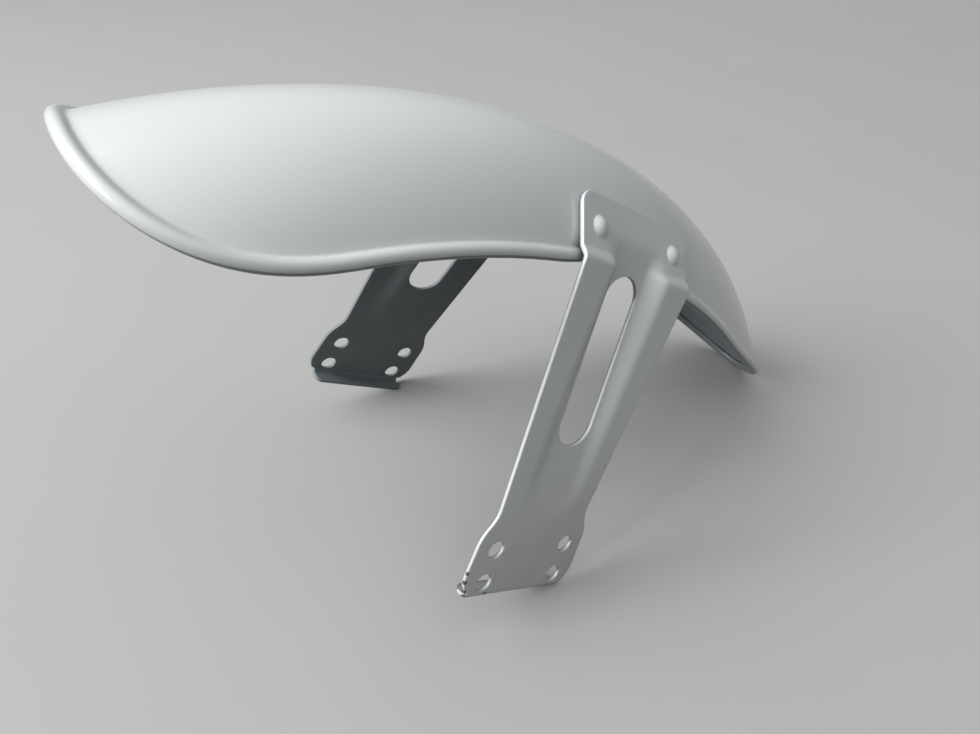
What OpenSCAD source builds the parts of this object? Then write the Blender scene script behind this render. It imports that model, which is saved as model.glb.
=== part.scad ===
// Motorcycle front mudguard: a crowned steel blade with a rolled edge all round,
// riveted to two pressed steel stays that bolt to the fork legs.
// It is drawn upright on the fork, with its origin midway between the feet, and
// then leaned back until the feet and the rear tip stand on one floor.
// X runs to the rear, Y to the rider's right and Z up.

/* [Blade] */
// Height of the rolled edge over the middle of the foot holes, at the stays
edge_height = 135; // [125:1:145]
// Radius of the rolled edge along the sides, about the wheel axle
edge_radius = 335; // [310:1:360]
// Half width of the blade, to the middle of its rolled edge
blade_half = 52.3; // [48:0.1:57]
// Rise of the crown over the rolled edge
crown_rise = 35.7; // [31:0.1:40]
// Half sweep of the crowned section; more sweep makes steeper skirts
section_sweep = 50; // [44:1:56]
// Thickness of the blade's sheet
blade_sheet = 1; // [0.8:0.1:1.2]

/* [Blade ends] */
// Angle about the axle from the stays to the front shoulder
front_shoulder = 21.5; // [18:0.5:24]
// Angle about the axle from the stays to the front tip
front_tip = 33.2; // [30:0.1:38]
// Roundness of the front end, 2 for an ellipse and more for a squarer end
front_roundness = 2.6; // [2:0.1:3]
// Angle about the axle from the stays to the rear shoulder
rear_shoulder = 17.7; // [15:0.1:22]
// Angle about the axle from the stays to the rear tip
rear_tip = 38.1; // [36:0.1:42]
// Roundness of the rear end, 2 for an ellipse and less for a sharper end
rear_roundness = 1.9; // [1.6:0.1:2.4]
// Growth of the half width at 30 degrees ahead of the stays
front_flare = 4.2; // [0:0.1:6]
// Loss of half width at 30 degrees behind the stays
rear_taper = 1.9; // [0:0.1:4]
// Loss of crown rise at 30 degrees ahead of the stays
front_dip = 2.8; // [0:0.1:5]
// Loss of crown rise at 30 degrees behind the stays
rear_dip = 3.1; // [0:0.1:5]

/* [Rolled edge] */
// Outer radius of the roll
roll_radius = 2.8; // [2.5:0.1:3.2]
// Radius of the fillet that turns the skirt out into the roll
roll_fillet = 1.8; // [1.6:0.1:2]
// Angle past the outermost point of the roll where the sheet ends
roll_end = 155; // [120:1:160]

/* [Stays] */
// Distance between the outer faces of the feet, at the middle of the holes
foot_span = 172; // [164:1:180]
// Thickness of the stays' sheet
stay_sheet = 2; // [1.6:0.1:2.4]
// Drop of the foot below the middle of the holes
foot_drop = 16.8; // [15.5:0.1:19]
// Half width of the foot at its folded bottom
foot_tip_half = 30; // [28:0.5:32]
// Distance below the middle of the holes where the foot's corners are cut
chamfer_drop = 7.3; // [5:0.1:9]
// Half width of the foot above its cut corners
foot_half = 35.5; // [33:0.5:38]
// Height over the middle of the holes where the foot starts to narrow
flare_height = 14.5; // [13:0.5:17]
// Half width of the foot where it starts to narrow
flare_half = 34.5; // [33:0.5:37]
// Height of the neck over the middle of the holes
neck_height = 24.5; // [22:0.5:30]
// Half width of the neck
neck_half = 29; // [27:0.5:32]
// Half width at the shoulder and the tab
tab_half = 37.5; // [35:0.5:40]
// Inward flange along the bottom of the foot, measured outside
flange = 10; // [8:0.5:14]
// Radius of the flange's free corners
flange_corner = 4; // [2:0.5:6]
// Inner radius of the flange's fold
fold_radius = 2; // [1.5:0.5:4]

/* [Foot holes] */
// Distance between the holes across the foot
hole_pitch_x = 46; // [43:0.5:50]
// Distance between the holes up the foot
hole_pitch_y = 16.5; // [15:0.5:18]
// Diameter of the holes
hole_d = 8.5; // [6.5:0.5:9]

/* [Slot and trough] */
// Half width of the slot
slot_half = 10.5; // [8:0.5:11.5]
// Lower end of the slot over the middle of the holes
slot_low = 58.3; // [54:0.1:64]
// Clear strip between the slot's upper end and the rolled edge
slot_strip = 0.4; // [0.3:0.1:3]
// Half width of the pressed trough, to its rim
trough_half = 20.5; // [19:0.5:22]
// Height where the trough's floor leaves the plate
trough_start = 23; // [18:0.5:28]
// Height of the middle of the trough's round lower end
trough_low = 40; // [38:0.5:46]
// Lean of the trough's floor towards the wheel, against the plate
trough_lean = 3.4; // [2.6:0.1:3.8]

/* [Pads, tabs and rivets] */
// Lean of the flat pad and the tab on it, from upright
pad_lean = 39; // [38:0.5:42]
// Depth of the pad's middle under the blade's own curve
pad_depth = 0.3; // [0.2:0.1:1]
// Distance up the skirt from the roll to where the tab lands
tab_start = 2.6; // [2.4:0.1:4]
// Distance up the skirt from the roll to the tab's top edge
tab_top = 26; // [24:0.5:30]
// Radius of the tab's top corners
tab_corner = 6; // [3:0.5:8]
// Lean of the short step between the leg and the tab, from upright
step_lean = 64; // [58:1:68]
// Mid-sheet radius of the shoulder between the leg and the step
shoulder_radius = 2.5; // [2:0.1:3]
// Mid-sheet radius of the bend where the tab lands
landing_radius = 2.5; // [2:0.1:3]
// Distance of each rivet from the middle of the tab
rivet_x = 26.6; // [25:0.1:30]
// Distance of the rivets up the skirt from the roll
rivet_up = 12.3; // [12:0.1:14]
// Diameter of the rivet's head
head_d = 9.2; // [8:0.1:12]
// Height of the rivet's domed head
head_h = 2.4; // [2:0.1:3.5]
// Diameter of the rivet's shank
shank_d = 5; // [4:0.5:6]
// Diameter of the rivet's tail inside the blade
tail_d = 7; // [6.5:0.5:7.5]
// Height of the rivet's tail
tail_h = 1.6; // [1:0.1:2.5]

/* [Clearances] */
// Gap between the stays' legs and the rolled edge
roll_gap = 1.4; // [1:0.1:1.6]
// Gap between the trough's floor and the rolled edge behind it
trough_gap = 0.3; // [0.2:0.1:0.6]
// Gap between the tabs and the skirt, filled by paint
tab_gap = 0.2; // [0.1:0.1:0.5]
// Gap between a rivet's shank and its holes
shank_gap = 0.1; // [0.05:0.05:0.3]
// Gap under a rivet's tail, filled by paint
tail_gap = 0.1; // [0.1:0.1:0.5]

/* [Hidden] */
$fn = 48;
paint = [0.86, 0.88, 0.88];
rivet_paint = [0.8, 0.82, 0.82];

// Section of the blade: one sweep of an ellipse with these half axes
axle_z = edge_height - edge_radius;
section_y = blade_half / sin(section_sweep);
section_z = crown_rise / (1 - cos(section_sweep));
// Skirt length for one unit of the section's share e, near the edge
skirt_unit = section_sweep * PI / 180
    * norm([section_y * cos(section_sweep), section_z * sin(section_sweep)]);
function share(up) = 1 - up / skirt_unit;

// Directions in the plane across the blade, for a surface that leans in by an angle
function outward(lean) = [cos(lean), sin(lean)];
function upward(lean) = [-sin(lean), cos(lean)];

// Stay plate: its outer face starts at the foot and clears the rolled edge
roll_centre = [blade_half, edge_height];
leg_reach = roll_radius + roll_gap + stay_sheet;
foot_face = [foot_span / 2, 0];
splay = atan2(foot_face[0] - roll_centre[0], roll_centre[1])
    - asin(leg_reach / norm(foot_face - roll_centre));
plate_origin = foot_face - outward(splay) * stay_sheet / 2;
function plate(b) = plate_origin + upward(splay) * b;
function plate_height(p) = (p - plate_origin) * upward(splay);

// Trough floor: a straight line that leaves the plate and leans further in
floor_lean = splay + trough_lean;
function floor_y(z) = plate(trough_start)[0] - (z - plate(trough_start)[1]) * tan(floor_lean);
// Rounds off the line where the floor meets the sheet around it
soft_rim = 0.5;
function trough_depth(p) = let(d = p[0] - floor_y(p[1])) (d + norm([d, soft_rim])) / 2;

// A rise from 0 to 1 with eased ends
function clamped(t) = min(1, max(0, t));
function eased(t) = let(c = clamped(t)) c * c * (3 - 2 * c);

// Relief pressed into the blade, so that the roll passes behind the trough
relief_half = tab_half + 9.5;
relief_rise = 12.5;
relief_depth = max(0, blade_half + roll_radius + trough_gap
    - floor_y(edge_height) + stay_sheet / cos(floor_lean));
function relief(x, up) = relief_depth * max(0,
    eased((relief_half - abs(x)) / (relief_half - slot_half - 2)) - up / relief_rise);

// Flat pads pressed into the skirts, on which the tabs lie
function section_at(e) = [section_y * sin(e * section_sweep),
    edge_height + section_z * (cos(e * section_sweep) - cos(section_sweep))];
pad_middle = section_at(share(rivet_up));
pad_level = pad_middle * outward(pad_lean) - pad_depth;
pad_rim = 0.15;
function pad_press(p) = let(d = [abs(p[1]), p[2]] * outward(pad_lean) - pad_level)
    (d + norm([d, pad_rim])) / 2;

// Blade surface at an angle about the axle and a share e from crown to edge
function end_growth(a, ahead, behind) = (a < 0 ? ahead : -behind) * pow(a / 30, 2);
function half_width(a) = blade_half + end_growth(a, front_flare, rear_taper);
function rise(a) = crown_rise + end_growth(a, -front_dip, rear_dip);
function plain_skin(a, e) = let(
    y = half_width(a) * sin(e * section_sweep) / sin(section_sweep),
    h = rise(a) * (cos(e * section_sweep) - cos(section_sweep)) / (1 - cos(section_sweep)))
    [(edge_radius + h) * sin(a), y, axle_z + (edge_radius + h) * cos(a)];
function skin(a, e) = let(p = plain_skin(a, e), in = pad_press(p),
    y = relief(p[0], (1 - abs(e)) * skirt_unit) + in * cos(pad_lean))
    [p[0], p[1] - sign(e) * y, p[2] - in * sin(pad_lean)];
function unit(v) = v / norm(v);

// Fall of the curved skin from its pad's plane, at a place x along and some way up
function fall(x, up) = let(e = share(up), p = skin(asin(x / (section_at(e)[1] - axle_z)), e))
    pad_level - [p[1], p[2]] * outward(pad_lean);

// Steps for the slopes of the skin
step_a = 0.05;
step_e = 0.002;
function skin_normal(a, e) = unit(cross(skin(a + step_a, e) - skin(a - step_a, e),
                                        skin(a, e + step_e) - skin(a, e - step_e)));

// Outline of one half of the blade, from the front tip to the rear tip
end_steps = 13;
relief_steps = 14;
side_steps = 8;
relief_a = asin(relief_half / edge_radius);
function steps(from, to, n) = [for (i = [1 : n]) from + (to - from) * i / n];
half_outline = concat(
    [for (q = concat([0], steps(0, 90, end_steps)))
        [-front_shoulder - (front_tip - front_shoulder) * pow(cos(q), 2 / front_roundness),
         pow(sin(q), 2 / front_roundness)]],
    [for (a = concat(steps(-front_shoulder, -relief_a, side_steps),
                     steps(-relief_a, relief_a, relief_steps),
                     steps(relief_a, rear_shoulder, side_steps - 1))) [a, 1]],
    [for (q = steps(0, 90, end_steps))
        [rear_shoulder + (rear_tip - rear_shoulder) * pow(sin(q), 2 / rear_roundness),
         q == 90 ? 0 : pow(cos(q), 2 / rear_roundness)]]);
half_count = len(half_outline) - 1;
ring_count = 2 * half_count;
function folded(i) = i <= half_count ? i : ring_count - i;
function outline(i) = let(k = (i + ring_count) % ring_count, p = half_outline[folded(k)])
    [p[0], k <= half_count ? p[1] : -p[1]];

// The sheet runs in rings from a line along the crown out to the rolled edge
ring_shares = [0, 0.22, 0.42, 0.57, 0.69, 0.77, 0.84, 0.89, 0.935];
crown_share = 0.72;
crown_middle = (rear_tip - front_tip) / 2;
function on_sheet(i, f) = let(p = outline(i),
    s = crown_middle + (p[0] - crown_middle) * crown_share)
    [s + (p[0] - s) * f, p[1] * f];
function sheet_ring(f, side, last) = [for (i = [0 : last]) let(p = on_sheet(i, f))
    skin(p[0], p[1]) + skin_normal(p[0], p[1]) * side * blade_sheet / 2];

// Cross-section of the roll: u away from the skirt, n outwards, about the roll's middle
roll_mid = roll_radius - blade_sheet / 2;
turn_out = acos(roll_fillet / (roll_fillet + roll_mid));
fillet_u = -(roll_fillet + roll_mid) * sin(turn_out);
function fillet_points(side) = let(r = roll_fillet - side * blade_sheet / 2)
    [for (t = [0, turn_out / 2]) [fillet_u + r * sin(t), roll_fillet - r * cos(t)]];
function roll_points(r, n) = [for (i = [0 : n])
    let(t = 90 + turn_out - (90 + turn_out + roll_end) * i / n) [r * cos(t), r * sin(t)]];
function backwards(v) = [for (i = [len(v) - 1 : -1 : 0]) v[i]];
roll_section = concat(fillet_points(1), roll_points(roll_radius, 8),
    backwards(roll_points(roll_radius - blade_sheet, 5)), backwards(fillet_points(-1)));
edge_frames = [for (i = [0 : ring_count - 1]) let(
    p = outline(i), before = outline(i - 1), after = outline(i + 1),
    n = skin_normal(p[0], p[1]),
    along = skin(after[0], after[1]) - skin(before[0], before[1]))
    [skin(p[0], p[1]), unit(cross(n, along)), n]];
function roll_ring(q) = [for (k = edge_frames) k[0] + k[1] * q[0] + k[2] * q[1]];

outer_rings = [for (f = ring_shares) sheet_ring(f, 1, f == 0 ? half_count : ring_count - 1)];
inner_rings = [for (f = backwards(ring_shares))
    sheet_ring(f, -1, f == 0 ? half_count : ring_count - 1)];
blade_rings = concat(outer_rings, [for (q = roll_section) roll_ring(q)], inner_rings);
last_ring = len(blade_rings) - 1;
blade_points = [for (r = blade_rings) each r];
function blade_index(r, i) = r == 0 ? folded(i % ring_count)
    : half_count + 1 + (r - 1) * ring_count + (r == last_ring ? folded(i % ring_count)
                                                               : i % ring_count);
blade_faces = [for (r = [0 : last_ring - 1], i = [0 : ring_count - 1])
    let(a = blade_index(r, i), b = blade_index(r + 1, i),
        c = blade_index(r + 1, i + 1), d = blade_index(r, i + 1))
    each [[a, b, c], [a, c, d]]];

// Tab: it lies flat on its pad
tab_stand = blade_sheet / 2 + tab_gap + stay_sheet / 2;
function tab_point(up) = pad_middle + upward(pad_lean) * (up - rivet_up)
    + outward(pad_lean) * (tab_stand - pad_depth);
landing = tab_point(tab_start);
landing_reach = landing_radius * tan((step_lean - pad_lean) / 2);

// Shoulder: where the step from the landing meets the leg's plate
shoulder = landing + upward(step_lean)
    * ((plate_origin - landing) * outward(splay)) / sin(splay - step_lean);
shoulder_reach = shoulder_radius * tan((step_lean - splay) / 2);

// Rows of the stay from its flange to its tab: place, lean and half width
function row(p, lean, w) = [p[0], p[1], lean, w];
function bend(corner, from, to, r, w, n) = let(s = to > from ? 1 : -1,
    c = corner - outward((from + to) / 2) * s * r / cos((to - from) / 2))
    [for (i = [0 : n]) let(t = from + (to - from) * i / n) row(c + outward(t) * s * r, t, w)];
fold_mid = fold_radius + stay_sheet / 2;
foot_corner = plate(stay_sheet / 2 - foot_drop);
flange_reach = flange - stay_sheet / 2;
flange_rows = [for (q = [90, 60, 30, 0])
    row(foot_corner - outward(splay) * (flange_reach - flange_corner * (1 - sin(q))),
        splay - 90, foot_tip_half - flange_corner * (1 - cos(q)))];
shoulder_start = plate_height(shoulder) - shoulder_reach;
stay_outline = [[-foot_drop, foot_tip_half], [-chamfer_drop, foot_half],
                [flare_height, flare_half], [neck_height, neck_half],
                [shoulder_start, tab_half]];
corner_blend = 3;
function leg_half(b) = (lookup(b - corner_blend, stay_outline) + 2 * lookup(b, stay_outline)
    + lookup(b + corner_blend, stay_outline)) / 4;
fold_end = fold_mid + stay_sheet / 2 - foot_drop;
leg_heights = concat(steps(fold_end, -chamfer_drop, 2), [3 - chamfer_drop, flare_height - 3],
    steps(flare_height - 3, neck_height + 3, 5), steps(neck_height + 3, trough_low + 3, 4),
    steps(trough_low + 3, shoulder_start - 4, 10));
leg_rows = [for (b = leg_heights) row(plate(b), splay, leg_half(b))];
tab_ups = concat(steps(tab_start + landing_reach, tab_top - tab_corner, 5),
    [for (q = [30, 60, 90]) tab_top - tab_corner * (1 - sin(q))]);
function tab_half_at(up) = let(t = max(0, up - tab_top + tab_corner))
    tab_half - tab_corner + sqrt(max(0, tab_corner * tab_corner - t * t));
stay_rows = concat(flange_rows, bend(foot_corner, splay - 90, splay, fold_mid, foot_tip_half, 4),
    leg_rows, bend(shoulder, splay, step_lean, shoulder_radius, tab_half, 4),
    bend(landing, step_lean, pad_lean, landing_radius, tab_half, 3),
    [for (up = tab_ups) row(tab_point(up), pad_lean, tab_half_at(up))]);

// Columns across the stay, finer over the trough's walls
wall_step = (trough_half - slot_half) / 3;
half_columns = concat([slot_half / 2], [for (i = [0 : 3]) slot_half + (i - 0.3) * wall_step],
                      [trough_half + 0.4]);
columns = concat([for (i = [len(half_columns) - 1 : -1 : 0]) -half_columns[i]], [0],
                 half_columns);
column_count = len(columns) + 2;
row_count = len(stay_rows);
function across(j, k) = k == 0 ? -stay_rows[j][3]
    : k == column_count - 1 ? stay_rows[j][3] : columns[k - 1];
function dent(j, k) = let(r = stay_rows[j], p = [r[0], r[1]],
    below = max(0, trough_low - plate_height(p)))
    trough_depth(p) * eased((trough_half - norm([across(j, k), below]))
                            / (trough_half - slot_half));
function stay_middle(j, k) = [across(j, k), stay_rows[j][0] - dent(j, k), stay_rows[j][1]];
function stay_normal(j, k) = let(
    j0 = max(0, j - 1), j1 = min(row_count - 1, j + 1),
    k0 = max(0, k - 1), k1 = min(column_count - 1, k + 1),
    up = upward(stay_rows[j][2]),
    run = norm([stay_rows[j1][0] - stay_rows[j0][0], stay_rows[j1][1] - stay_rows[j0][1]]),
    rise_in = (dent(j1, k) - dent(j0, k)) / run,
    wall_in = (dent(j, k1) - dent(j, k0)) / (across(j, k1) - across(j, k0)))
    unit(cross([0, up[0] - rise_in, up[1]], [1, -wall_in, 0]));
function stay_grid(side) = [for (j = [0 : row_count - 1], k = [0 : column_count - 1])
    stay_middle(j, k) + stay_normal(j, k) * side * stay_sheet / 2];
stay_points = concat(stay_grid(1), stay_grid(-1));
grid_size = row_count * column_count;
function at(j, k) = j * column_count + k;
function quad(a, b, c, d) = [[a, c, b], [a, d, c]];
stay_faces = concat(
    [for (j = [0 : row_count - 2], k = [0 : column_count - 2])
        each quad(at(j, k), at(j + 1, k), at(j + 1, k + 1), at(j, k + 1))],
    [for (j = [0 : row_count - 2], k = [0 : column_count - 2])
        each quad(grid_size + at(j, k), grid_size + at(j, k + 1),
                  grid_size + at(j + 1, k + 1), grid_size + at(j + 1, k))],
    [for (j = [0 : row_count - 2]) let(k = column_count - 1)
        each quad(at(j, k), at(j + 1, k), grid_size + at(j + 1, k), grid_size + at(j, k))],
    [for (j = [0 : row_count - 2])
        each quad(at(j, 0), grid_size + at(j, 0), grid_size + at(j + 1, 0), at(j + 1, 0))],
    [for (k = [0 : column_count - 2]) let(j = row_count - 1)
        each quad(at(j, k), grid_size + at(j, k), grid_size + at(j, k + 1), at(j, k + 1))],
    [for (k = [0 : column_count - 2])
        each quad(at(0, k), at(0, k + 1), grid_size + at(0, k + 1), grid_size + at(0, k))]);

// Slot: its upper end stops just below the roll
slot_top = plate_height([blade_half, edge_height - roll_radius - slot_strip]);
punch = 30;

// Rivets stand square to the tab
rivet_seat = tab_point(rivet_up) + outward(pad_lean) * stay_sheet / 2;
tail_fall = max([for (x = [-tail_d, tail_d], up = [-tail_d, tail_d])
    fall(rivet_x + x / 2, rivet_up + up / 2)]);
rivet_grip = stay_sheet + tab_gap + blade_sheet + tail_fall + tail_gap;
dome_radius = (head_d * head_d / 4 + head_h * head_h) / (2 * head_h);

// Rake: the lean that brings the feet and the rear tip down to one floor
function low_z(points, lean) = min([for (p = points) p[2] * cos(lean) - p[0] * sin(lean)]);
rear_points = [for (p = blade_points) if (p[0] > 0) p];
rear_reach = max([for (p = rear_points) p[0]]);
function settled(lean, n) = n == 0 ? lean
    : settled(lean + atan((low_z(rear_points, lean) - low_z(stay_points, lean)) / rear_reach),
              n - 1);
rake = settled(25, 12);
floor_z = low_z(stay_points, rake);
function raked_x(p) = p[0] * cos(rake) + p[2] * sin(rake);
blade_xs = [for (p = blade_points) raked_x(p)];
middle_x = (min(blade_xs) + max(blade_xs)) / 2;

module stand() {
    translate([-middle_x, 0, -floor_z]) rotate([0, rake, 0]) children();
}

// Puts a thing drawn on the foot's outer face, with Y up the plate, in its place
module on_foot() {
    translate([0, foot_face[0], foot_face[1]]) rotate([splay, 0, 0])
        rotate([90, 0, 0]) mirror([0, 0, 1]) children();
}

module at_rivet(x) {
    translate([x, rivet_seat[0], rivet_seat[1]]) rotate([pad_lean - 90, 0, 0]) children();
}

module rivet_holes() {
    for (x = [-rivet_x, rivet_x])
        at_rivet(x) translate([0, 0, -rivet_grip])
            cylinder(d = shank_d + 2 * shank_gap, h = rivet_grip + head_h);
}

module slot() {
    low = slot_low + slot_half;
    high = slot_top - slot_half;
    translate([0, 0, -punch / 2]) {
        translate([0, low, 0]) cylinder(r = slot_half, h = punch);
        translate([0, high, 0]) cylinder(r = slot_half, h = punch);
        translate([-slot_half, low, 0]) cube([2 * slot_half, high - low, punch]);
    }
}

module foot_holes() {
    for (x = [-1, 1], y = [-1, 1])
        translate([x * hole_pitch_x / 2, y * hole_pitch_y / 2, -2 * stay_sheet])
            cylinder(d = hole_d, h = 4 * stay_sheet);
}

module stay() {
    difference() {
        polyhedron(stay_points, stay_faces);
        on_foot() slot();
        on_foot() foot_holes();
        rivet_holes();
    }
}

module rivet() {
    intersection() {
        translate([0, 0, head_h - dome_radius]) sphere(r = dome_radius);
        cylinder(d = head_d + 2, h = head_h + 1);
    }
    translate([0, 0, -rivet_grip]) cylinder(d = shank_d, h = rivet_grip + head_h / 2);
    translate([0, 0, -rivet_grip - tail_h]) cylinder(d1 = tail_d - tail_h, d2 = tail_d, h = tail_h);
}

module mudguard_blade() {
    color(paint) stand() difference() {
        polyhedron(blade_points, blade_faces);
        rivet_holes();
        mirror([0, 1, 0]) rivet_holes();
    }
}

module right_stay() {
    color(paint) stand() stay();
}

module left_stay() {
    color(paint) stand() mirror([0, 1, 0]) stay();
}

module right_rivet(x) {
    color(rivet_paint) stand() at_rivet(x) rivet();
}

module left_rivet(x) {
    color(rivet_paint) stand() mirror([0, 1, 0]) at_rivet(x) rivet();
}

mudguard_blade();
left_stay();
right_stay();
left_rivet(-rivet_x);  // left_front_rivet
left_rivet(rivet_x);  // left_rear_rivet
right_rivet(-rivet_x);  // right_front_rivet
right_rivet(rivet_x);  // right_rear_rivet
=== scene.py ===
"""Builds a motorcycle front mudguard: blade, two pressed stays and four rivets."""

import math

import bmesh
import bpy
import numpy as np
from bpy.props import FloatProperty, FloatVectorProperty, PointerProperty
from mathutils import Matrix, Vector
from mathutils.geometry import delaunay_2d_cdt


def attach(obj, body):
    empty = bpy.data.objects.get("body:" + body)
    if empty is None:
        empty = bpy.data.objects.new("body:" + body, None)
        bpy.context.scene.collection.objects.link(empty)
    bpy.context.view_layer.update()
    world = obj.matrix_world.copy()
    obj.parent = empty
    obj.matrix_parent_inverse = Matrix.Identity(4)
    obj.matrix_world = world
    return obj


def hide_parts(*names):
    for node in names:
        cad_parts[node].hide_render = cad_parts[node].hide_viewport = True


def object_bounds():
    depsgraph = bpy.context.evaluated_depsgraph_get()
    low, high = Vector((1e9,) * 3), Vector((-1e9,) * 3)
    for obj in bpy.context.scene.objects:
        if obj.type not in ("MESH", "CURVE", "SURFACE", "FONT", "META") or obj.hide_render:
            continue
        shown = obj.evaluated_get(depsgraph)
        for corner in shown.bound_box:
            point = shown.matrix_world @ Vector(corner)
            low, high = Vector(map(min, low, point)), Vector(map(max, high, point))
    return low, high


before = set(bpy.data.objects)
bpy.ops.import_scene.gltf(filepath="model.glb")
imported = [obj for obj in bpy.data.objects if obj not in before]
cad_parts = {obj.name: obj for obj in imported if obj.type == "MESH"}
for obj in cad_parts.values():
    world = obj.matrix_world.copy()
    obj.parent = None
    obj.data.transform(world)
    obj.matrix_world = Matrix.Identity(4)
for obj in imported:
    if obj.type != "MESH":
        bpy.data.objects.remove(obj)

bl_info = {
    "name": "Front mudguard",
    "version": (1, 0, 0),
    "blender": (4, 5, 0),
    "location": "3D View > Sidebar > Mudguard",
    "description": "Builds a front mudguard's blade, stays and rivets around the packed frame",
    "category": "Object",
}

CAD_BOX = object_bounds()
BODY = "root"
MM = 0.001
TINY = 1e-6
# Angles in degrees past which an edge isn't shaded smooth
BLADE_SMOOTH, STAY_SMOOTH, RIVET_SMOOTH = 40, 50, 35


def length(name, text, value):
    return FloatProperty(name=name, description=text, default=value, subtype="DISTANCE",
                         precision=5)


def angle(name, text, degrees):
    return FloatProperty(name=name, description=text, default=math.radians(degrees),
                         subtype="ANGLE")


def number(name, text, value):
    return FloatProperty(name=name, description=text, default=value, precision=4)


def shade(name, text, value):
    return FloatVectorProperty(name=name, description=text, default=value, subtype="COLOR",
                               size=3, min=0.0, max=1.0)


class BladeSizes(bpy.types.PropertyGroup):
    """Sizes of the blade and its rolled edge"""

    half_width: length("Half Width", "Half width to the middle of the rolled edge", 0.0523)
    rise: length("Rise", "Rise of the crown over the rolled edge", 0.0357)
    edge_radius: length("Edge Radius", "Radius of the rolled edge about the axle", 0.335)
    edge_height: length("Edge Height", "Height of the rolled edge over the foot holes", 0.135)
    sweep: angle("Section Sweep", "Half sweep of the crowned section", 50)
    front_shoulder: angle("Front Shoulder", "Angle from the stays to the front shoulder", 21.5)
    front_tip: angle("Front Tip", "Angle from the stays to the front tip", 33.2)
    front_roundness: number("Front Roundness", "2 for an ellipse, more for a squarer end", 2.6)
    rear_shoulder: angle("Rear Shoulder", "Angle from the stays to the rear shoulder", 17.7)
    rear_tip: angle("Rear Tip", "Angle from the stays to the rear tip", 38.1)
    rear_roundness: number("Rear Roundness", "2 for an ellipse, less for a sharper end", 1.9)
    front_flare: length("Front Flare", "Growth of half width 30 degrees ahead", 0.0042)
    rear_taper: length("Rear Taper", "Loss of half width 30 degrees behind", 0.0019)
    front_dip: length("Front Dip", "Loss of crown rise 30 degrees ahead", 0.0028)
    rear_dip: length("Rear Dip", "Loss of crown rise 30 degrees behind", 0.0031)
    sheet: length("Sheet", "Thickness of the blade's sheet", 0.001)
    roll_radius: length("Roll Radius", "Outer radius of the rolled edge", 0.0028)
    roll_fillet: length("Roll Fillet", "Radius where the skirt turns out into the roll", 0.0018)
    roll_end: angle("Roll End", "Angle past the outermost point where the sheet ends", 155)
    pad_lean: angle("Pad Lean", "Lean of the flat pads under the tabs", 39)
    pad_depth: length("Pad Depth", "Depth of a pad's middle under the blade's curve", 0.0003)
    relief_rise: length("Relief Rise", "Height of the relief behind the trough", 0.0125)


class StaySizes(bpy.types.PropertyGroup):
    """Sizes of the two stays and how they meet the blade"""

    foot_span: length("Foot Span", "Distance between the feet's outer faces", 0.172)
    sheet: length("Sheet", "Thickness of the stays' sheet", 0.002)
    foot_drop: length("Foot Drop", "Drop of the foot below the middle of its holes", 0.0168)
    foot_tip_half: length("Foot Tip Half", "Half width of the folded bottom", 0.030)
    chamfer_drop: length("Chamfer Drop", "Drop of the cut corners", 0.0073)
    foot_half: length("Foot Half", "Half width above the cut corners", 0.0355)
    flare_height: length("Flare Height", "Height where the foot starts to narrow", 0.0145)
    flare_half: length("Flare Half", "Half width where the foot starts to narrow", 0.0345)
    neck_height: length("Neck Height", "Height of the neck", 0.0245)
    neck_half: length("Neck Half", "Half width of the neck", 0.029)
    tab_half: length("Tab Half", "Half width of the tab", 0.0375)
    flange: length("Flange", "Inward flange along the foot, outside", 0.010)
    flange_corner: length("Flange Corner", "Radius of the flange's corners", 0.004)
    fold_radius: length("Fold Radius", "Inner radius of the flange's fold", 0.002)
    hole_pitch_x: length("Hole Pitch X", "Distance between holes across the foot", 0.046)
    hole_pitch_y: length("Hole Pitch Y", "Distance between holes up the foot", 0.0165)
    hole_d: length("Hole Diameter", "Diameter of the bolt holes", 0.0085)
    slot_half: length("Slot Half", "Half width of the slot", 0.0105)
    slot_low: length("Slot Low", "Lower end of the slot", 0.0583)
    slot_strip: length("Slot Strip", "Strip between the slot and the roll", 0.0004)
    trough_half: length("Trough Half", "Half width of the pressed trough", 0.0205)
    trough_start: length("Trough Start", "Height where its floor leaves the plate", 0.023)
    trough_low: length("Trough Low", "Height of the middle of its round lower end", 0.040)
    trough_lean: angle("Trough Lean", "Lean of its floor against the plate", 3.4)
    tab_start: length("Tab Start", "Distance up the skirt where the tab lands", 0.0026)
    tab_top: length("Tab Top", "Distance up the skirt to the tab's top edge", 0.026)
    tab_corner: length("Tab Corner", "Radius of the tab's top corners", 0.006)
    step_lean: angle("Step Lean", "Lean of the short step between leg and tab", 64)
    shoulder_radius: length("Shoulder Radius", "Radius of the bend at the shoulder", 0.0025)
    landing_radius: length("Landing Radius", "Radius of the bend where the tab lands", 0.0025)
    roll_gap: length("Roll Clearance", "Clearance between the leg and the roll", 0.0014)
    trough_gap: length("Trough Clearance", "Clearance between the trough and the roll", 0.0003)
    tab_gap: length("Tab Clearance", "Clearance between the tab and the skirt", 0.0002)


class RivetSizes(bpy.types.PropertyGroup):
    """Sizes and places of the rivets"""

    spread: length("Spread", "Distance of each rivet from the tab's middle", 0.0266)
    up: length("Up", "Distance of the rivets up the skirt from the roll", 0.0123)
    head_d: length("Head Diameter", "Diameter of the domed head", 0.0092)
    head_h: length("Head Height", "Height of the domed head", 0.0024)
    shank_d: length("Shank Diameter", "Diameter of the shank", 0.005)
    tail_d: length("Tail Diameter", "Diameter of the tail inside the blade", 0.007)
    tail_h: length("Tail Height", "Height of the tail", 0.0016)
    tail_fall: length("Tail Fall", "Fall of the curved skin under the tail", 0.000785)
    tail_gap: length("Tail Clearance", "Clearance under the tail", 0.0001)


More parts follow.
